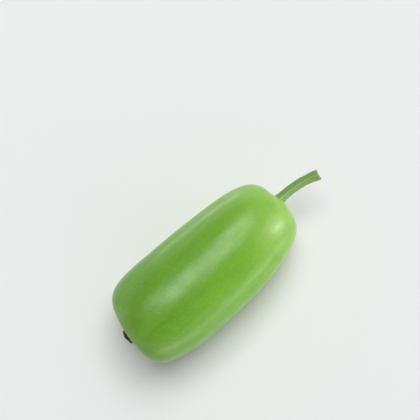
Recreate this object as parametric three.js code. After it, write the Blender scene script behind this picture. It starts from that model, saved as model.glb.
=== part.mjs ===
// A short bottle gourd, as picked, lying on its side.
// Millimetres. +X runs from the blossom end to the stem end, +Y is to the left seen from above
// with the stem pointing away, and +Z is up. z = 0 is the surface that the gourd lies on, and the
// origin is at the middle of the whole gourd's length and width.
import * as THREE from 'three';

// Driving dimensions of the fruit.
const FRUIT_LENGTH = 176;
const FRUIT_WIDTH = 90;
const WIDEST_AT = 0.29; // share of the length, from the blossom end
const AXIS_DROP = 5.5; // how far the axis sinks towards the narrower stem end, over the full length
const AXIS_BOW = 3.3; // how far both ends bend to +Y
const REST_SINK = 0.6; // how far the skin is pressed flat where it rests

// How the radius falls from the widest place to each end: fall is how late it starts to fall,
// and bluntness is how square the shoulder is.
const BLOSSOM_SHAPE = { fall: 2.1, bluntness: 6.0 };
const STEM_SHAPE = { fall: 2.8, bluntness: 3.9 };

// The two ends are a little skewed: the blossom end faces down and to +Y, the stem end up and to +Y.
const END_REACH = 0.2; // share of the length that an end's skew reaches into
const BLOSSOM_SKEW = { down: 12, left: 8 }; // degrees
const STEM_SKEW = { up: 4, left: 4 }; // degrees

// Soft lobes on the shoulders, the hollows that the stem and the dried blossom sit in,
// and the shallow grooves that spread from the stem, deepest at a distance from it.
// A lobe's height is a share of the radius, and it rises between two shares of the length,
// which the blossom end counts backwards.
const LOBES = 5;
const STEM_LOBE = { height: 0.012, between: [0.6, 0.95] };
const BLOSSOM_LOBE = { height: 0.008, between: [0.75, 0.97] };
const STEM_HOLLOW = { depth: 1.8, radius: 11 };
const BLOSSOM_HOLLOW = { depth: 3.0, radius: 24 };
const STEM_GROOVES = { count: 3, depth: 2.2, distance: 16, turn: 50 };

// The stem: a bent, five-ridged stalk that widens at its foot and a little at its cut end.
const STEM_RADIUS = 4.5;
const STEM_LENGTH = 42;
const STEM_OFFSET = 1.5; // how far to +Y of the middle of the hollow its foot is
const STEM_START = { yaw: 6, pitch: 5 }; // degrees, where it leaves the fruit
const STEM_END = { yaw: -28, pitch: 20 }; // degrees, where it was cut
const STEM_RIDGES = 5;
const RIDGE_HEIGHT = 0.09; // share of the radius
const FOOT_FLARE = { widening: 0.3, reach: 0.11 }; // shares of the radius and of the length
const TIP_FLARE = { widening: 0.1, from: 0.75 };
const CUT_SLANT = 12; // degrees that its left side is cut back
const STEM_GAP = 1.1; // from the floor of the hollow to the foot of the stem

// The dried blossom: a withered lump that leaves the end on a short neck and hangs down close to it.
const BLOSSOM_NECK_RADIUS = 3.2;
const BLOSSOM_WIDTH = 11.5;
const BLOSSOM_FLATNESS = 0.3; // how much thinner than wide it is
const BLOSSOM_REACH = 5.2; // how far the neck goes out before it hangs
const BLOSSOM_DROP = 15;
const BLOSSOM_LEAN = 0.6; // how far its tip hangs back towards the fruit
const BLOSSOM_WIDENS = [0.1, 0.6]; // shares of its length between which it widens
const BLOSSOM_CLOSES = [0.7, 1.05]; // shares of its length between which it closes
const BLOSSOM_END = 0.9; // how much of its width has closed at the tip
const BLOSSOM_CREASES = { count: 5, depth: 0.12, twist: 4 };
const BLOSSOM_GAP = 1.0;

// Mesh steps.
const OUTLINE_STEPS = 4000;
const FRUIT_RINGS = 46;
const FRUIT_SPOKES = 48;
const STEM_RINGS = 14;
const STEM_SPOKES = 20;
const BLOSSOM_RINGS = 12;
const BLOSSOM_SPOKES = 16;

const RADIUS = FRUIT_WIDTH / 2;
const TAU = 2 * Math.PI;
const slope = (degrees) => Math.tan(THREE.MathUtils.degToRad(degrees));

// The fruit's radius at a place along it, as a share of its widest radius.
function girth(along) {
  const shape = along < WIDEST_AT ? BLOSSOM_SHAPE : STEM_SHAPE;
  const span = along < WIDEST_AT ? WIDEST_AT : 1 - WIDEST_AT;
  const outward = Math.min(1, Math.abs(along - WIDEST_AT) / span);
  return (1 - outward ** shape.fall) ** (1 / shape.bluntness);
}

// A round hollow that is deepest on the axis.
const hollow = (shape, spoke) => shape.depth * Math.exp(-((spoke / shape.radius) ** 2));

// How deep the grooves around the stem are, from nothing at the stem to their full depth.
function stemGroove(spoke, turn) {
  const out = (spoke / STEM_GROOVES.distance) ** 2;
  const around = STEM_GROOVES.count * (turn - THREE.MathUtils.degToRad(STEM_GROOVES.turn));
  return STEM_GROOVES.depth * out * Math.exp(1 - out) * (0.5 + 0.5 * Math.cos(around));
}

// A point of the fruit's skin: along from 0 at the blossom end to 1 at the stem end,
// and turn around the axis, from +Y towards +Z.
function skin(along, turn) {
  const nearBlossom = Math.max(0, 1 - along / END_REACH) ** 2;
  const nearStem = Math.max(0, 1 - (1 - along) / END_REACH) ** 2;
  const lobe = STEM_LOBE.height * THREE.MathUtils.smoothstep(along, ...STEM_LOBE.between)
    + BLOSSOM_LOBE.height * THREE.MathUtils.smoothstep(1 - along, ...BLOSSOM_LOBE.between);
  const spoke = RADIUS * girth(along) * (1 + lobe * Math.cos(LOBES * turn));
  const side = spoke * Math.cos(turn);
  const rise = spoke * Math.sin(turn);
  const blossomSkew = slope(BLOSSOM_SKEW.left) * side - slope(BLOSSOM_SKEW.down) * rise;
  const stemSkew = slope(STEM_SKEW.left) * side + slope(STEM_SKEW.up) * rise;
  const x = (along - 0.5) * FRUIT_LENGTH
    + nearBlossom * (blossomSkew + hollow(BLOSSOM_HOLLOW, spoke))
    - nearStem * (stemSkew + hollow(STEM_HOLLOW, spoke) + stemGroove(spoke, turn));
  const y = side + AXIS_BOW * (2 * along - 1) ** 2;
  const z = rise + RADIUS - REST_SINK - AXIS_DROP * (along - WIDEST_AT);
  return new THREE.Vector3(x, y, Math.max(z, 0));
}

// The fruit's outline as a curve, so that its rings can be spaced evenly along it.
class Outline extends THREE.Curve {
  getPoint(t, target = new THREE.Vector3()) {
    const along = 0.5 - 0.5 * Math.cos(Math.PI * t);
    return target.set(along * FRUIT_LENGTH, RADIUS * girth(along), 0);
  }
}

// A closed skin over a row of rings, with a tip point before the first ring and after the last.
function closedSkin(firstTip, rings, lastTip) {
  const spokes = rings[0].length;
  const points = [firstTip, ...rings.flat(), lastTip];
  const last = points.length - 1;
  const at = (ring, spoke) => 1 + ring * spokes + (spoke % spokes);
  const faces = [];
  for (let spoke = 0; spoke < spokes; spoke += 1) {
    faces.push(0, at(0, spoke + 1), at(0, spoke));
    faces.push(last, at(rings.length - 1, spoke), at(rings.length - 1, spoke + 1));
    for (let ring = 0; ring < rings.length - 1; ring += 1) {
      faces.push(at(ring, spoke), at(ring, spoke + 1), at(ring + 1, spoke + 1));
      faces.push(at(ring, spoke), at(ring + 1, spoke + 1), at(ring + 1, spoke));
    }
  }
  const geometry = new THREE.BufferGeometry().setFromPoints(points);
  geometry.setIndex(faces);
  geometry.computeVertexNormals();
  return geometry;
}

// The turns of a ring's spokes.
const turns = (spokes) => Array.from({ length: spokes }, (_, spoke) => (spoke * TAU) / spokes);

// Rings across a path. radiusAt(t, turn) is the radius at a share t of the path.
function ringsAlong(path, count, spokes, radiusAt) {
  const frames = path.computeFrenetFrames(count - 1, false);
  return Array.from({ length: count }, (_, ring) => {
    const t = ring / (count - 1);
    const centre = path.getPointAt(t);
    return turns(spokes).map((turn) => {
      const radius = radiusAt(t, turn);
      return centre.clone()
        .addScaledVector(frames.normals[ring], radius * Math.cos(turn))
        .addScaledVector(frames.binormals[ring], radius * Math.sin(turn));
    });
  });
}

// The direction of a yaw from +X towards +Y and a pitch upwards.
function heading(degrees) {
  const yaw = THREE.MathUtils.degToRad(degrees.yaw);
  const pitch = THREE.MathUtils.degToRad(degrees.pitch);
  const level = Math.cos(pitch);
  return new THREE.Vector3(Math.cos(yaw) * level, Math.sin(yaw) * level, Math.sin(pitch));
}

function fruitGeometry() {
  const outline = new Outline();
  outline.arcLengthDivisions = OUTLINE_STEPS;
  const stops = outline.getSpacedPoints(FRUIT_RINGS + 1).slice(1, -1);
  const stations = stops.map((point) => point.x / FRUIT_LENGTH);
  const rings = stations.map((along) => turns(FRUIT_SPOKES).map((turn) => skin(along, turn)));
  return closedSkin(skin(0, 0), rings, skin(1, 0));
}

function stemGeometry() {
  const leaving = heading(STEM_START);
  const cut = heading(STEM_END);
  const foot = skin(1, 0).addScaledVector(leaving, STEM_GAP).add(new THREE.Vector3(0, STEM_OFFSET, 0));
  const middle = heading({
    yaw: (STEM_START.yaw + STEM_END.yaw) / 2,
    pitch: (STEM_START.pitch + STEM_END.pitch) / 2,
  });
  const tip = foot.clone().addScaledVector(middle, STEM_LENGTH);
  const path = new THREE.CubicBezierCurve3(
    foot,
    foot.clone().addScaledVector(leaving, STEM_LENGTH / 3),
    tip.clone().addScaledVector(cut, -STEM_LENGTH / 3),
    tip,
  );
  const radiusAt = (t, turn) => {
    const footFlare = FOOT_FLARE.widening * Math.exp(-((t / FOOT_FLARE.reach) ** 2));
    const tipFlare = TIP_FLARE.widening * THREE.MathUtils.smoothstep(t, TIP_FLARE.from, 1);
    return STEM_RADIUS * (1 + footFlare + tipFlare) * (1 + RIDGE_HEIGHT * Math.cos(STEM_RIDGES * turn));
  };
  const rings = ringsAlong(path, STEM_RINGS, STEM_SPOKES, radiusAt);
  const left = new THREE.Vector3(0, 0, 1).cross(cut).normalize();
  rings.at(-1).forEach((point) => {
    const aside = point.clone().sub(tip).dot(left);
    point.addScaledVector(cut, -slope(CUT_SLANT) * aside);
  });
  return closedSkin(foot, rings, tip);
}

function driedBlossomGeometry() {
  const out = new THREE.Vector3(-1, slope(BLOSSOM_SKEW.left), -slope(BLOSSOM_SKEW.down)).normalize();
  const root = skin(0, 0).addScaledVector(out, BLOSSOM_GAP);
  const elbow = root.clone().addScaledVector(out, BLOSSOM_REACH);
  const tip = elbow.clone().add(new THREE.Vector3(BLOSSOM_LEAN, 0, -BLOSSOM_DROP));
  const path = new THREE.QuadraticBezierCurve3(root, elbow, tip);
  const radiusAt = (t, turn) => {
    const widening = THREE.MathUtils.smoothstep(t, ...BLOSSOM_WIDENS);
    const body = THREE.MathUtils.lerp(BLOSSOM_NECK_RADIUS, BLOSSOM_WIDTH / 2, widening);
    const closing = Math.sqrt(1 - (BLOSSOM_END * THREE.MathUtils.smoothstep(t, ...BLOSSOM_CLOSES)) ** 2);
    const wave = Math.cos(BLOSSOM_CREASES.count * turn + BLOSSOM_CREASES.twist * t);
    const creases = 1 + BLOSSOM_CREASES.depth * wave * widening;
    const flattened = 1 - BLOSSOM_FLATNESS * Math.sin(turn) ** 2;
    return body * closing * creases * flattened;
  };
  const rings = ringsAlong(path, BLOSSOM_RINGS, BLOSSOM_SPOKES, radiusAt);
  return closedSkin(root, rings, tip);
}

function piece(name, geometry, colour, roughness) {
  const material = new THREE.MeshStandardMaterial({ color: colour, roughness, metalness: 0 });
  const mesh = new THREE.Mesh(geometry, material);
  mesh.name = name;
  return mesh;
}

const gourd = new THREE.Group();
gourd.add(
  piece('fruit', fruitGeometry(), '#71a83c', 0.42),
  piece('stem', stemGeometry(), '#7fa75a', 0.6),
  piece('dried_blossom', driedBlossomGeometry(), '#4a3c26', 0.9),
);

// The origin goes to the middle of the whole gourd, on the surface.
const extent = new THREE.Box3().setFromObject(gourd);
const middle = extent.getCenter(new THREE.Vector3());
gourd.position.set(-middle.x, -middle.y, -extent.min.z);
gourd.updateMatrixWorld(true);

export default gourd;
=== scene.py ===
"""A short bottle gourd lying on its side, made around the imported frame.

Metres, in the frame of the CAD: +X from the blossom end to the stem end, +Z up, z = 0 is the surface.
Shapes are worked out in millimetres, with the driving dimensions of the CAD, and scaled at the end.
"""
import math

import bpy
import numpy as np
from mathutils import Matrix, Vector, noise


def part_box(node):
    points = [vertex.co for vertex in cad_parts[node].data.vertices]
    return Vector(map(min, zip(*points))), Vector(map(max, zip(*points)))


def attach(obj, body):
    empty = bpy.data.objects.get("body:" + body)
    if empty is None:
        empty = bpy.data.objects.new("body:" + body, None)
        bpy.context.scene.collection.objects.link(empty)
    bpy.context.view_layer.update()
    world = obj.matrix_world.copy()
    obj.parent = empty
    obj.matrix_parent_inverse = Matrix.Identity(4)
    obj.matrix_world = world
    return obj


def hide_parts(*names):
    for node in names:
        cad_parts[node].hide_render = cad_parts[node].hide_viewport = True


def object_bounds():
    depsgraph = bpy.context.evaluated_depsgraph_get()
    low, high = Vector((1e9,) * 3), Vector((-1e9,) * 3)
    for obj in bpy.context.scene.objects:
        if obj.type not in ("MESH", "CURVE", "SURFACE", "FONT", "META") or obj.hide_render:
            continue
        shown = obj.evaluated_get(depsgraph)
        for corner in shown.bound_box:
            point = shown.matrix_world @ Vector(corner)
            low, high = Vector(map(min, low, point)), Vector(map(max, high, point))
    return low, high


noise.seed_set(1)  # so that the crumpling is the same in every run

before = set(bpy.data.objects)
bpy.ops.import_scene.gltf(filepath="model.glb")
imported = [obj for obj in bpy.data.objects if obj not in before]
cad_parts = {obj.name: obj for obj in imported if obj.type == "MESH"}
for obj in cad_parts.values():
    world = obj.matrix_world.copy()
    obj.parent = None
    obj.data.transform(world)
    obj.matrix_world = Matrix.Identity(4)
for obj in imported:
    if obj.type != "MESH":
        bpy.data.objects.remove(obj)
cad_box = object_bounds()

MM = 0.001
TAU = 2 * math.pi

# Driving dimensions of the fruit, in millimetres and degrees, as in the CAD.
FRUIT_LENGTH = 176
FRUIT_WIDTH = 90
WIDEST_AT = 0.29
AXIS_DROP = 5.5
AXIS_BOW = 3.3
REST_SINK = 0.6
BLOSSOM_SHAPE = {"fall": 2.1, "bluntness": 6.0}
STEM_SHAPE = {"fall": 2.8, "bluntness": 3.9}
END_REACH = 0.2
BLOSSOM_SKEW = {"down": 12, "left": 8}
STEM_SKEW = {"up": 4, "left": 4}
LOBES = 5
STEM_LOBE = {"height": 0.012, "between": (0.6, 0.95)}
BLOSSOM_LOBE = {"height": 0.008, "between": (0.75, 0.97)}
STEM_HOLLOW = {"depth": 1.8, "radius": 11}
BLOSSOM_HOLLOW = {"depth": 3.0, "radius": 24}
STEM_GROOVES = {"count": 3, "depth": 2.2, "distance": 16, "turn": 50}

# The stem and the dried blossom.
STEM_RADIUS = 4.5
STEM_LENGTH = 42
STEM_OFFSET = 1.5
STEM_START = {"yaw": 6, "pitch": 5}
STEM_END = {"yaw": -28, "pitch": 20}
STEM_GAP = 1.1
CUT_SLANT = 12
BLOSSOM_NECK_RADIUS = 3.2
BLOSSOM_WIDTH = 11.5
BLOSSOM_REACH = 5.2
BLOSSOM_DROP = 15
BLOSSOM_LEAN = 0.6
BLOSSOM_GAP = 1.0

RADIUS = FRUIT_WIDTH / 2
OUTLINE_STEPS = 3000

# Slow waves over the skin: height in millimetres, waves along and around, and phase.
SKIN_WAVES = [
    (0.16, 5, 2, 0.4),
    (0.12, 9, 3, 2.1),
    (0.10, 4, 5, 4.0),
    (0.07, 14, 4, 5.2),
    (0.05, 22, 7, 1.3),
]
PRESS_SOFTNESS = 0.15  # how gently the underside turns into the flat patch


# ---------------------------------------------------------------- shapes

def smoothstep(low, high, value):
    t = np.clip((value - low) / (high - low), 0, 1)
    return t * t * (3 - 2 * t)


def turns_around(spokes):
    """Evenly spaced angles once around."""
    return np.arange(spokes) * TAU / spokes


def slope(degrees):
    return math.tan(math.radians(degrees))


def heading(turned):
    yaw, pitch = math.radians(turned["yaw"]), math.radians(turned["pitch"])
    return np.array([math.cos(yaw) * math.cos(pitch), math.sin(yaw) * math.cos(pitch), math.sin(pitch)])


def outline(rings):
    """Stations of the fruit's outline from pole to pole, evenly spaced along it.

    Returns their places as shares of the length, and their girths as shares of RADIUS.
    """
    girth = np.sin(np.linspace(0, math.pi / 2, OUTLINE_STEPS))
    blossom_reach = (1 - girth ** BLOSSOM_SHAPE["bluntness"]) ** (1 / BLOSSOM_SHAPE["fall"])
    stem_reach = (1 - girth ** STEM_SHAPE["bluntness"]) ** (1 / STEM_SHAPE["fall"])
    blossom_half = WIDEST_AT * (1 - blossom_reach)
    stem_half = WIDEST_AT + (1 - WIDEST_AT) * stem_reach
    along = np.concatenate([blossom_half, stem_half[::-1]])
    girth = np.concatenate([girth, girth[::-1]])
    steps = np.hypot(np.diff(along * FRUIT_LENGTH), np.diff(girth * RADIUS))
    travelled = np.concatenate([[0], np.cumsum(steps)])
    stops = np.linspace(0, travelled[-1], rings + 2)
    return np.interp(stops, travelled, along), np.interp(stops, travelled, girth)


def unevenness(along, turn):
    """The slow swells and dips of a grown skin, in millimetres."""
    return sum(size * np.cos(lengthwise * along + around * turn + phase)
               for size, lengthwise, around, phase in SKIN_WAVES)


def skin(along, girth, turn):
    """Points of the fruit's skin, in millimetres, from arrays of places along it and turns around it."""
    near_blossom = np.maximum(0, 1 - along / END_REACH) ** 2
    near_stem = np.maximum(0, 1 - (1 - along) / END_REACH) ** 2
    lobe = (STEM_LOBE["height"] * smoothstep(*STEM_LOBE["between"], along)
            + BLOSSOM_LOBE["height"] * smoothstep(*BLOSSOM_LOBE["between"], 1 - along))
    spoke = RADIUS * girth * (1 + lobe * np.cos(LOBES * turn))
    spoke = spoke + unevenness(along, turn) * smoothstep(0.3, 0.9, girth)
    side = spoke * np.cos(turn)
    rise = spoke * np.sin(turn)
    blossom_skew = slope(BLOSSOM_SKEW["left"]) * side - slope(BLOSSOM_SKEW["down"]) * rise
    stem_skew = slope(STEM_SKEW["left"]) * side + slope(STEM_SKEW["up"]) * rise
    blossom_hollow = BLOSSOM_HOLLOW["depth"] * np.exp(-((spoke / BLOSSOM_HOLLOW["radius"]) ** 2))
    stem_hollow = STEM_HOLLOW["depth"] * np.exp(-((spoke / STEM_HOLLOW["radius"]) ** 2))
    out = (spoke / STEM_GROOVES["distance"]) ** 2
    around = STEM_GROOVES["count"] * (turn - math.radians(STEM_GROOVES["turn"]))
    stem_groove = STEM_GROOVES["depth"] * out * np.exp(1 - out) * (0.5 + 0.5 * np.cos(around))
    x = ((along - 0.5) * FRUIT_LENGTH + near_blossom * (blossom_skew + blossom_hollow)
         - near_stem * (stem_skew + stem_hollow + stem_groove))
    y = side + AXIS_BOW * (2 * along - 1) ** 2
    z = rise + RADIUS - REST_SINK - AXIS_DROP * (along - WIDEST_AT)
    pressed = 0.5 * (z + np.sqrt(z * z + PRESS_SOFTNESS))
    return np.stack([x, y, pressed], -1)


def closed_skin(first_tip, rings, last_tip):
    """Points and faces of a closed surface over a row of rings. rings has the shape (rings, spokes, 3)."""
    count, spokes, _ = rings.shape
    points = np.concatenate([[first_tip], rings.reshape(-1, 3), [last_tip]])
    last = len(points) - 1
    faces = []
    for spoke in range(spokes):
        nxt = (spoke + 1) % spokes
        faces.append((0, 1 + nxt, 1 + spoke))
        faces.append((last, 1 + (count - 1) * spokes + spoke, 1 + (count - 1) * spokes + nxt))
        for ring in range(count - 1):
            a, b = 1 + ring * spokes, 1 + (ring + 1) * spokes
            faces.append((a + spoke, a + nxt, b + nxt, b + spoke))
    return points, faces


def bezier(points, t):
    """Places and directions on a Bezier curve of any degree."""
    points = [np.asarray(p, float) for p in points]
    degree = len(points) - 1
    t = np.asarray(t)[:, None]

    def blend(knots, n):
        return sum(math.comb(n, i) * t ** i * (1 - t) ** (n - i) * knots[i] for i in range(n + 1))

    ahead = blend([points[i + 1] - points[i] for i in range(degree)], degree - 1)
    return blend(points, degree), ahead / np.linalg.norm(ahead, axis=1)[:, None]


def tube(curve, t, spokes, radius_at, up=(0, 0, 1)):
    """Rings across a curve. radius_at(t, turn) is the radius there: turn 0 is to the right of someone
    who looks along the curve, and a quarter turn is up."""
    centres, ahead = bezier(curve, t)
    right = np.cross(ahead, up)
    right /= np.linalg.norm(right, axis=1)[:, None]
    above = np.cross(right, ahead)
    turn = turns_around(spokes)
    radius = radius_at(np.asarray(t)[:, None], turn[None, :])
    return (centres[:, None, :] + right[:, None, :] * (radius * np.cos(turn))[..., None]
            + above[:, None, :] * (radius * np.sin(turn))[..., None])


def crumple(points, amount, scale):
    """Points pushed about by smooth noise: amount and scale in millimetres, or a scale for each axis."""
    flat = points.reshape(-1, 3)
    pushed = [noise.noise_vector(Vector(p / scale)) for p in flat]
    return points + amount * np.array(pushed).reshape(points.shape)


gourd = bpy.data.collections.new("gourd")
bpy.context.scene.collection.children.link(gourd)


def make_piece(name, points, faces, node, material, vectors=None):
    """A smooth mesh object from millimetre points, standing for a CAD node."""
    mesh = bpy.data.meshes.new(name)
    mesh.from_pydata([tuple(p) for p in points * MM], [], faces)
    mesh.shade_smooth()
    for label, values in (vectors or {}).items():
        layer = mesh.attributes.new(label, "FLOAT_VECTOR", "POINT")
        layer.data.foreach_set("vector", np.asarray(values, float).ravel())
    mesh.materials.append(material)
    piece = bpy.data.objects.new(name, mesh)
    gourd.objects.link(piece)
    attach(piece, "root")
    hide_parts(node)
    return piece


# ---------------------------------------------------------------- materials

class Shader:
    """A material under construction. Each method adds one node and returns its output."""

    def __init__(self, name):
        self.material = bpy.data.materials.new(name)
        self.material.use_nodes = True
        self.tree = self.material.node_tree
        self.surface = self.tree.nodes["Principled BSDF"]

    def plug(self, socket, value):
        if isinstance(value, bpy.types.NodeSocket):
            self.tree.links.new(value, socket)
        else:
            socket.default_value = value

    def node(self, kind, inputs, output=0, **settings):
        made = self.tree.nodes.new(kind)
        for key, value in settings.items():
            setattr(made, key, value)
        for key, value in inputs.items():
            self.plug(made.inputs[key], value)
        return made.outputs[output]

    def places(self):
        return self.node("ShaderNodeTexCoord", {}, "Object")

    def attribute(self, name):
        return self.node("ShaderNodeAttribute", {}, "Vector", attribute_name=name)

    def stretched(self, vector, scale):
        return self.node("ShaderNodeMapping", {"Vector": vector, "Scale": scale})

    def noise(self, vector, scale, detail=3.0, roughness=0.5):
        inputs = {"Vector": vector, "Scale": scale, "Detail": detail, "Roughness": roughness}
        return self.node("ShaderNodeTexNoise", inputs)

    def cells(self, vector, scale):
        return self.node("ShaderNodeTexVoronoi", {"Vector": vector, "Scale": scale}, "Distance")

    def spread(self, value, low, high, to_low=0.0, to_high=1.0):
        return self.node("ShaderNodeMapRange", {0: value, 1: low, 2: high, 3: to_low, 4: to_high},
                         interpolation_type="SMOOTHSTEP")

    def sums(self, operation, a, b=0.0):
        return self.node("ShaderNodeMath", {0: a, 1: b}, operation=operation)

    def distance(self, vector, point):
        return self.node("ShaderNodeVectorMath", {0: vector, 1: point}, "Value", operation="DISTANCE")

    def part(self, vector, axis):
        return self.node("ShaderNodeSeparateXYZ", {0: vector}, axis)

    def ramp(self, value, stops):
        made = self.tree.nodes.new("ShaderNodeValToRGB")
        made.color_ramp.interpolation = "B_SPLINE"
        self.plug(made.inputs[0], value)
        elements = made.color_ramp.elements
        while len(elements) < len(stops):
            elements.new(1.0)
        for element, (place, colour) in zip(elements, stops):
            element.position = place
            element.color = colour + (1.0,)
        return made.outputs[0]

    def mix(self, factor, a, b, blend="MIX"):
        made = self.tree.nodes.new("ShaderNodeMix")
        made.data_type = "RGBA"
        made.blend_type = blend
        for key, value in (("Factor", factor), ("A", a), ("B", b)):
            kind = "VALUE" if key == "Factor" else "RGBA"
            socket = next(s for s in made.inputs if s.name == key and s.type == kind)
            self.plug(socket, value + (1.0,) if isinstance(value, tuple) else value)
        return next(s for s in made.outputs if s.type == "RGBA")

    def bump(self, height, strength, distance, normal=None):
        inputs = {"Height": height, "Strength": strength, "Distance": distance}
        if normal is not None:
            inputs["Normal"] = normal
        return self.node("ShaderNodeBump", inputs)

    def finish(self, **sockets):
        for key, value in sockets.items():
            self.plug(self.surface.inputs[key.replace("_", " ")], value)
        return self.material


def skin_material(low, high, stem_pole, blossom_pole):
    """Waxy green skin, mottled, streaked and finely speckled, with painted light along it: paler towards
    the stem and lighter at the blossom tip.
    """
    s = Shader("gourd_skin")
    place = s.places()
    share = s.node("ShaderNodeMapRange", {0: s.part(place, "X"), 1: low.x, 2: high.x})
    wander = s.spread(s.noise(place, 22.0, 2.0), 0.3, 0.7, -0.06, 0.06)
    # Painted light along the fruit: the ramp is paler and yellower towards the stem end and lighter again
    # at the blossom tip, standing in for how the light falls along it; the wander added to it is the
    # skin's own uneven tone.
    green = s.ramp(s.sums("ADD", share, wander), [
        (0.01, (0.145, 0.310, 0.036)),
        (0.07, (0.114, 0.288, 0.013)),
        (0.25, (0.106, 0.292, 0.007)),
        (0.62, (0.128, 0.335, 0.010)),
        (0.82, (0.182, 0.385, 0.033)),
        (0.99, (0.275, 0.500, 0.100)),
    ])
    streaks = s.noise(s.stretched(place, (9.0, 70.0, 70.0)), 1.0, 4.0, 0.6)
    green = s.mix(s.spread(streaks, 0.40, 0.75, 0.0, 0.28), green, (0.22, 0.46, 0.05))
    mottle = s.noise(place, 75.0, 4.0, 0.6)
    green = s.mix(s.spread(mottle, 0.42, 0.72, 0.0, 0.28), green, (0.075, 0.235, 0.010))
    fine = s.noise(place, 620.0, 3.0, 0.6)
    green = s.mix(s.spread(fine, 0.5, 0.78, 0.0, 0.32), green, (0.27, 0.52, 0.10))
    patchy = s.spread(s.noise(place, 60.0, 2.0), 0.45, 0.65)
    speck = s.cells(s.stretched(place, (0.8, 1.0, 1.0)), 520.0)
    speck_mask = s.sums("MULTIPLY", s.spread(speck, 0.08, 0.24, 0.24, 0.0), patchy)
    green = s.mix(speck_mask, green, (0.34, 0.58, 0.14))
    pit = s.cells(place, 110.0)
    pit_mask = s.spread(pit, 0.040, 0.070, 0.45, 0.0)
    green = s.mix(pit_mask, green, (0.045, 0.13, 0.010))
    stem_near = s.distance(place, stem_pole)
    green = s.mix(s.spread(stem_near, 0.0055, 0.0100, 0.65, 0.0), green, (0.11, 0.26, 0.04))
    blossom_near = s.distance(place, blossom_pole)
    ragged = s.sums("ADD", blossom_near, s.spread(mottle, 0.3, 0.7, -0.002, 0.002))
    green = s.mix(s.spread(ragged, 0.0050, 0.0085, 0.85, 0.0), green, (0.16, 0.15, 0.05))
    rough = s.spread(mottle, 0.3, 0.7, 0.31, 0.39)
    peel = s.noise(place, 260.0, 2.0, 0.5)
    grain = s.noise(place, 1500.0, 2.0, 0.6)
    swell = s.noise(s.stretched(place, (30.0, 60.0, 60.0)), 1.0, 2.0, 0.5)
    normal = s.bump(swell, 0.30, 0.0020)
    normal = s.bump(peel, 0.14, 0.0006, normal)
    normal = s.bump(grain, 0.10, 0.0002, normal)
    normal = s.bump(s.sums("MULTIPLY", pit_mask, -1.0), 0.5, 0.0004, normal)
    return s.finish(Base_Color=green, Roughness=rough, Normal=normal, IOR=1.5, Coat_Weight=0.09,
                    Coat_Roughness=0.22, Sheen_Weight=0.15, Sheen_Roughness=0.18,
                    Sheen_Tint=(0.78, 0.95, 0.75, 1.0))


def stem_material():
    """Matt green stalk with pale ridges, painted blue-green on one side as painted shade and yellow-green
    on the other as painted light.
    """
    s = Shader("gourd_stem")
    grain = s.attribute("grain")
    look = s.attribute("look")
    ridge, painted_light_side, cut = (s.part(look, axis) for axis in "XYZ")
    fibres = s.noise(s.stretched(grain, (0.35, 5.0, 5.0)), 1.0, 4.0, 0.6)
    streaks = s.noise(s.stretched(grain, (0.09, 1.7, 1.7)), 1.0, 3.0)
    blotch = s.noise(s.stretched(grain, (0.12, 0.5, 0.5)), 1.0, 2.0)
    # Painted light and shade: the side towards -Y gets a lighter yellow-green and the side towards +Y a
    # darker blue-green, for how the light falls on the stalk; the blotches only blur the border between
    # them.
    side = s.sums("ADD", painted_light_side, s.spread(blotch, 0.3, 0.7, -0.25, 0.25))
    shaded = s.mix(s.spread(s.part(grain, "X"), 20.0, 42.0), (0.128, 0.280, 0.068), (0.155, 0.268, 0.055))
    green = s.mix(s.spread(side, 0.25, 0.75), shaded, (0.185, 0.315, 0.078))
    green = s.mix(s.spread(fibres, 0.4, 0.7, 0.0, 0.38), green, (0.29, 0.42, 0.16))
    green = s.mix(s.spread(streaks, 0.52, 0.72, 0.0, 0.45), green, (0.085, 0.165, 0.040))
    green = s.mix(s.spread(ridge, 0.15, 0.95, 0.0, 0.55), green, (0.36, 0.50, 0.16))
    scuff = s.noise(s.stretched(grain, (0.5, 1.6, 1.6)), 1.0, 5.0, 0.65)
    green = s.mix(s.spread(scuff, 0.62, 0.74, 0.0, 0.45), green, (0.20, 0.18, 0.07))
    pith = s.noise(s.stretched(grain, (1.5, 2.5, 2.5)), 1.0, 4.0, 0.7)
    fresh = s.mix(s.spread(pith, 0.35, 0.65), (0.10, 0.19, 0.035), (0.19, 0.28, 0.08))
    green = s.mix(s.spread(cut, 0.2, 0.8), green, fresh)
    normal = s.bump(fibres, 0.35, 0.0004)
    return s.finish(Base_Color=green, Roughness=s.spread(fibres, 0.3, 0.7, 0.5, 0.66), Normal=normal,
                    Sheen_Weight=0.5, Sheen_Roughness=0.35, Sheen_Tint=(0.86, 0.95, 0.66, 1.0))


def dry_material():
    """Withered brown tissue: nearly black at the neck and in the creases, tan at the torn edges."""
    s = Shader("dry_blossom")
    place = s.places()
    age = s.part(s.attribute("grain"), "X")
    crumple = s.noise(s.stretched(place, (420.0, 420.0, 170.0)), 1.0, 5.0, 0.65)
    tone = s.sums("ADD", crumple, s.spread(age, 0.1, 1.0, -0.14, 0.10))
    brown = s.ramp(tone, [
        (0.22, (0.006, 0.004, 0.002)),
        (0.45, (0.024, 0.014, 0.006)),
        (0.64, (0.085, 0.052, 0.021)),
        (0.82, (0.220, 0.150, 0.065)),
    ])
    normal = s.bump(crumple, 0.6, 0.0006)
    return s.finish(Base_Color=brown, Roughness=s.spread(crumple, 0.3, 0.7, 0.95, 0.75), Normal=normal,
                    Specular_IOR_Level=0.25)


# ---------------------------------------------------------------- the gourd

FRUIT_RINGS = 200
FRUIT_SPOKES = 240
along, girth = outline(FRUIT_RINGS)
rings = skin(along[1:-1, None], girth[1:-1, None], turns_around(FRUIT_SPOKES)[None, :])
blossom_pole = skin(along[0], girth[0], 0.0)
stem_pole = skin(along[-1], girth[-1], 0.0)

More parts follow.
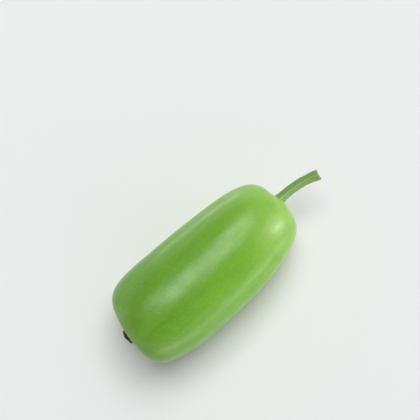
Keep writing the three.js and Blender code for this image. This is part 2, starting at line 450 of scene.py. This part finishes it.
# The fruit is laid where the CAD's fruit lies.
fruit_low, fruit_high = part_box("fruit")
own_middle = (rings.min((0, 1)) + rings.max((0, 1))) / 2
cad_middle = np.array((fruit_low + fruit_high) / 2) / MM
place = np.array([cad_middle[0] - own_middle[0], cad_middle[1] - own_middle[1], 0.0])
rings += place
blossom_pole = blossom_pole + place
stem_pole = stem_pole + place

skin_look = skin_material(fruit_low, fruit_high, Vector(stem_pole * MM), Vector(blossom_pole * MM))
points, faces = closed_skin(blossom_pole, rings, stem_pole)
make_piece("gourd_skin", points, faces, "fruit", skin_look)

# The stem.
STEM_ROOT = 1.2  # how far the stem starts inside the fruit
STEM_RINGS = 150
STEM_SPOKES = 160
STEM_RIDGES = 5
RIDGE_TURN = math.radians(10)
RIDGE_HEIGHT = 0.10
RIDGE_CREST = {"height": 0.06, "sharpness": 12}
FOOT_SKIRT = {"height": 0.22, "reach": 0.055}
FOOT_FLARE = {"height": 0.26, "reach": 0.13}
TIP_FLARE = {"height": 0.10, "from": 0.75}
SLANT_FROM = 0.80
RAGGED_FROM = 0.95
RAGGED_HEIGHT = 0.35
leaving, cut = heading(STEM_START), heading(STEM_END)
middle = heading({key: (STEM_START[key] + STEM_END[key]) / 2 for key in STEM_START})
foot = stem_pole + np.array([0, STEM_OFFSET, 0]) - STEM_ROOT * leaving
tip = foot + (STEM_ROOT + STEM_GAP) * leaving + STEM_LENGTH * middle
stem_curve = [foot, foot + leaving * STEM_LENGTH / 3, tip - cut * STEM_LENGTH / 3, tip]


def ridge_nearness(turn):
    """1 on a ridge line and 0 halfway between two."""
    return np.abs(np.cos(STEM_RIDGES / 2 * (turn - RIDGE_TURN)))


def crest_nearness(turn):
    """1 along the top of a ridge and 0 close beside it."""
    return ridge_nearness(turn) ** RIDGE_CREST["sharpness"]


def stem_radius(t, turn):
    near = ridge_nearness(turn)
    skirt = FOOT_SKIRT["height"] * np.exp(-((t / FOOT_SKIRT["reach"]) ** 2)) * (0.6 + 0.8 * near)
    foot = FOOT_FLARE["height"] * np.exp(-((t / FOOT_FLARE["reach"]) ** 2))
    tip = TIP_FLARE["height"] * smoothstep(TIP_FLARE["from"], 1.0, t)
    section = 0.88 + RIDGE_HEIGHT * near + RIDGE_CREST["height"] * crest_nearness(turn)
    fibres = 0.006 * np.cos(35 * turn + 3 * np.sin(9 * t)) + 0.004 * np.cos(60 * turn - 5 * np.sin(6 * t))
    knobs = 0.012 * np.cos(23 * t + 2 * turn) + 0.010 * np.cos(41 * t - 3 * turn)
    return STEM_RADIUS * (1 + skirt + foot + tip) * (section + fibres + knobs)


stem_t = np.linspace(0, 1, STEM_RINGS)
turn = turns_around(STEM_SPOKES)
side_rings = tube(stem_curve, stem_t, STEM_SPOKES, stem_radius)
aside = (side_rings - tip) @ np.cross([0, 0, 1], cut) / math.hypot(cut[0], cut[1])
slanted = slope(CUT_SLANT) * aside * smoothstep(SLANT_FROM, 1.0, stem_t)[:, None]
ragged = RAGGED_HEIGHT * np.cos(2 * turn + 0.6) * smoothstep(RAGGED_FROM, 1.0, stem_t)[:, None]
side_rings += (ragged - slanted)[..., None] * cut

# The cut end: a rounded rim, a ring of vessels that stands up a little, and a sunken pith.
CUT_SHARES = np.array([0.97, 0.90, 0.82, 0.74, 0.66, 0.56, 0.44, 0.30, 0.16])
CUT_HEIGHTS = np.array([0.16, 0.20, 0.16, 0.10, 0.12, 0.00, -0.30, -0.55, -0.65])
rim = side_rings[-1]
end_middle = rim.mean(0)
cut_rings = (end_middle + (rim - end_middle) * CUT_SHARES[:, None, None]
             + cut * CUT_HEIGHTS[:, None, None])
cut_rings = crumple(cut_rings, 0.10, 0.7)
stem_rings = np.concatenate([side_rings, cut_rings])
pith = end_middle + cut * CUT_HEIGHTS[-1]
points, faces = closed_skin(foot, stem_rings, pith)

# What the stem's material reads at each point: how near a ridge it is, which side of the top ridge it is
# on (this sets the painted light and painted shade on the stalk's two sides), and whether it is on the
# cut.
top_ridge = RIDGE_TURN + TAU / STEM_RIDGES
# Painted light side: 1 on the side of the top ridge towards -Y, which the material paints lighter, and 0
# on the other side, which it paints darker as shade.
painted_light_side = smoothstep(-0.2, 0.2, np.sin(top_ridge - turn))
ON_CUT = np.array([0, 0.5, 1])
side_look = np.zeros(side_rings.shape)
side_look[..., 0] = crest_nearness(turn)
side_look[..., 1] = painted_light_side
cut_look = np.zeros(cut_rings.shape) + ON_CUT
look = np.concatenate([[[0, 0, 0]], side_look.reshape(-1, 3), cut_look.reshape(-1, 3), [ON_CUT]])
# And where it lies on the stem if that were straight, so that the fibres follow the bend.
side_grain = np.zeros(side_rings.shape)
side_grain[..., 0] = stem_t[:, None] * STEM_LENGTH
side_grain[..., 1] = STEM_RADIUS * np.cos(turn)
side_grain[..., 2] = STEM_RADIUS * np.sin(turn)
grain = np.concatenate([[[0, 0, 0]], side_grain.reshape(-1, 3), cut_rings.reshape(-1, 3), [pith]])
make_piece("gourd_stem", points, faces, "stem", stem_material(), {"grain": grain, "look": look})

# The dried blossom: a neck and a collapsed flower, with its withered petals folded around it.
BLOSSOM_ROOT = 0.6  # how far the neck starts inside the fruit
FLOWER_RINGS = 80
FLOWER_SPOKES = 110
FLOWER_CREASES = 5
FLOWER_SWELL = 1.12
FLOWER_FLATNESS = 0.38
PETALS = 5
STRIP_RINGS = 34
STRIP_SPOKES = 28
out = np.array([-1, slope(BLOSSOM_SKEW["left"]), -slope(BLOSSOM_SKEW["down"])])
out /= np.linalg.norm(out)
root = blossom_pole - BLOSSOM_ROOT * out
elbow = blossom_pole + (BLOSSOM_GAP + BLOSSOM_REACH) * out
hang = elbow + np.array([BLOSSOM_LEAN, 0, -BLOSSOM_DROP])
blossom_curve = [root, elbow, hang]


def creased(turn):
    """A wave from -1 to 1 with sharp valleys."""
    return 2 * np.abs(np.sin(turn / 2)) ** 0.6 - 1


def flower_radius(t, turn):
    widening = smoothstep(0.12, 0.55, t)
    body = BLOSSOM_NECK_RADIUS + (BLOSSOM_WIDTH / 2 - BLOSSOM_NECK_RADIUS) * widening
    closing = np.sqrt(1 - (0.90 * smoothstep(0.70, 1.05, t)) ** 2)
    folds = (0.11 * creased(FLOWER_CREASES * turn + 4 * (t - 0.6)) + 0.05 * creased(11 * turn - 6 * t)
             + 0.02 * np.cos(27 * turn + 9 * t))
    section = FLOWER_SWELL * (1 - FLOWER_FLATNESS * np.cos(turn) ** 2)
    return body * closing * section * (1 + folds * widening)


def flower():
    t = np.linspace(0, 1, FLOWER_RINGS)
    rings = tube(blossom_curve, t, FLOWER_SPOKES, flower_radius, up=(0, 1, 0))
    rings = crumple(rings, 0.4, np.array([2.6, 2.6, 5.5]))
    rings = crumple(rings, 0.14, np.array([0.8, 0.8, 1.6]))
    points, faces = closed_skin(root, rings, rings[-1].mean(0))
    ages = np.concatenate([[0], np.repeat(t, FLOWER_SPOKES), [1]])
    return points, faces, ages


def strip(curve, width, thickness, start_age, end_age, crumpling):
    """A thin, pointed strip along a curve, crumpled."""
    t = np.linspace(0, 1, STRIP_RINGS)

    def half_width(t, turn):
        outline = np.sqrt(np.clip(np.sin(math.pi * (0.10 + 0.88 * t)), 0, 1)) * width / 2
        flat = np.sqrt((np.cos(turn) / outline) ** 2 + (np.sin(turn) * 2 / thickness) ** 2)
        return 1 / flat

    rings = crumple(tube(curve, t, STRIP_SPOKES, half_width, up=(0.12, 0.2, 0.97)), crumpling, 3.4)
    points, faces = closed_skin(rings[0].mean(0), rings, rings[-1].mean(0))
    ages = start_age + (end_age - start_age) * np.concatenate([[0], np.repeat(t, STRIP_SPOKES), [1]])
    return points, faces, ages


def petal(number):
    """One petal: it leaves the collapsed flower halfway down and folds around its tip."""
    turn = number * TAU / PETALS + 0.9
    centres, _ = bezier(blossom_curve, np.array([0.40, 0.97]))
    away = np.array([0.55 * math.cos(turn), math.sin(turn), 0.0])
    start = centres[0] + away * 2.8
    end = centres[1] + away * (2.4 + 0.9 * math.cos(2.6 * number))
    end = end + np.array([0, 0, 1.4 * math.cos(1.9 * number)])
    bulge = (start + end) / 2 + away * (2.9 + 0.5 * math.sin(3.1 * number))
    return strip([start, bulge, end], 5.0, 0.55, 0.5, 1.15, 0.8)


def sepal(number):
    """One dry calyx tooth, lying out from the neck."""
    turn = number * TAU / PETALS
    across = np.array([0.0, math.cos(turn), math.sin(turn)])
    start = blossom_pole + out * 1.0 + across * 2.2
    end = blossom_pole + out * 2.6 + across * (5.6 + 0.8 * math.cos(2.2 * number))
    return strip([start, (start + end) / 2 + out * 0.9, end], 1.7, 0.6, 0.25, 0.6, 0.35)


def joined(shapes):
    """One mesh from several: its points, faces and ages."""
    points, faces, ages, count = [], [], [], 0
    for own_points, own_faces, own_ages in shapes:
        points.append(own_points)
        ages.append(own_ages)
        faces += [tuple(corner + count for corner in face) for face in own_faces]
        count += len(own_points)
    return np.concatenate(points), faces, np.concatenate(ages)


petals = [petal(number) for number in range(PETALS)]
sepals = [sepal(number) for number in range(PETALS)]
points, faces, ages = joined([flower()] + petals + sepals)
grain = np.stack([ages, ages * 0, ages * 0], -1)
make_piece("withered_blossom", points, faces, "dried_blossom", dry_material(),
           {"grain": grain})


# ---------------------------------------------------------------- camera, lights and floor

CAMERA_AZIMUTH = -42.2
CAMERA_ELEVATION = 78
CAMERA_DISTANCE = 0.8706
CAMERA_PAN = (-0.0124, 0.0396)
CAMERA_LENS = 85
WALL_LIGHT = 1.08
CEILING_LIGHT = 0.28
WALL_TOP = (0.08, 0.50)  # the wall's light fades into the ceiling's between these heights of the view
FLOOR_RADIUS = 6
FLOOR_CORNERS = 64


def view_axes(azimuth, elevation):
    """Right, up and back directions of someone looking from an azimuth and elevation."""
    a, e = math.radians(azimuth), math.radians(elevation)
    back = Vector((math.sin(a) * math.cos(e), -math.cos(a) * math.cos(e), math.sin(e)))
    right = Vector((math.cos(a), math.sin(a), 0))
    return right, back.cross(right), back


def place_camera():
    right, up, back = view_axes(CAMERA_AZIMUTH, CAMERA_ELEVATION)
    aim = Vector((0, 0, cad_box[1].z / 2))
    spot = aim + back * CAMERA_DISTANCE + right * CAMERA_PAN[0] + up * CAMERA_PAN[1]
    camera = bpy.data.cameras.new("camera")
    camera.lens = CAMERA_LENS
    holder = bpy.data.objects.new("camera", camera)
    holder.matrix_world = Matrix.Translation(spot) @ Matrix((right, up, back)).transposed().to_4x4()
    bpy.context.scene.collection.objects.link(holder)
    bpy.context.scene.camera = holder


def shine(name, spot, power, size, colour=(1, 1, 1), shape="RECTANGLE", along=(1, 0, 0), on_floor=False):
    """A soft light that looks at the middle of the gourd from a spot, with its length along a direction.

    size is its length and its height. The camera doesn't see it, and it leaves the floor alone unless
    on_floor is set.
    """
    light = bpy.data.lights.new(name, "AREA")
    light.shape = shape
    light.energy = power
    light.color = colour
    light.size, light.size_y = size
    spot = Vector(spot)
    back = (spot - Vector((0, 0, cad_box[1].z / 2))).normalized()
    right = Vector(along)
    right = (right - back * right.dot(back)).normalized()
    holder = bpy.data.objects.new(name, light)
    turned = Matrix((right, back.cross(right), back)).transposed().to_4x4()
    holder.matrix_world = Matrix.Translation(spot) @ turned
    holder.visible_camera = False
    if not on_floor:
        holder.light_linking.receiver_collection = gourd
    bpy.context.scene.collection.objects.link(holder)


def floor():
    mesh = bpy.data.meshes.new("floor")
    turn = turns_around(FLOOR_CORNERS)
    corners = list(zip(FLOOR_RADIUS * np.cos(turn), FLOOR_RADIUS * np.sin(turn), np.zeros(FLOOR_CORNERS)))
    mesh.from_pydata(corners, [], [tuple(range(FLOOR_CORNERS))])
    s = Shader("floor")
    tone = s.spread(s.noise(s.places(), 3.0, 2.0), 0.3, 0.7, 0.90, 0.92)
    mesh.materials.append(s.finish(Base_Color=tone, Roughness=0.8))
    sheet = bpy.data.objects.new("floor", mesh)
    bpy.context.scene.collection.objects.link(sheet)


def daylight():
    """A pale room: bright walls all round, and a dimmer ceiling."""
    world = bpy.data.worlds.new("studio")
    world.use_nodes = True
    tree = world.node_tree
    direction = tree.nodes.new("ShaderNodeTexCoord").outputs["Generated"]
    height = tree.nodes.new("ShaderNodeSeparateXYZ")
    brightness = tree.nodes.new("ShaderNodeMapRange")
    brightness.interpolation_type = "SMOOTHSTEP"
    for socket, value in enumerate((*WALL_TOP, WALL_LIGHT, CEILING_LIGHT), start=1):
        brightness.inputs[socket].default_value = value
    background = tree.nodes["Background"]
    background.inputs["Color"].default_value = (0.97, 0.985, 1.0, 1)
    tree.links.new(direction, height.inputs[0])
    tree.links.new(height.outputs["Z"], brightness.inputs[0])
    tree.links.new(brightness.outputs[0], background.inputs["Strength"])
    bpy.context.scene.world = world


place_camera()
floor()
daylight()
WARM = (1.0, 0.93, 0.70)
PALE = (1.0, 0.97, 0.85)
shine("overhead", spot=(1.45, 1.16, 6.0), power=266, size=(4.4, 3.9), on_floor=True)
shine("right", spot=(0.87, -0.58, 0.46), power=3.8, size=(0.07, 0.24), colour=PALE, shape="ELLIPSE")
shine("right_wide", spot=(0.87, -0.58, 0.45), power=2.0, size=(0.8, 0.8), colour=WARM, shape="ELLIPSE")
shine("front", spot=(0.01, -0.32, 0.032), power=0.42, size=(0.6, 0.06), colour=WARM)
shine("back_left", spot=(0.045, 0.168, 0.014), power=0.036, size=(0.15, 0.02), along=(0.115, -0.065, 0))
bpy.context.scene.view_settings.view_transform = "Standard"
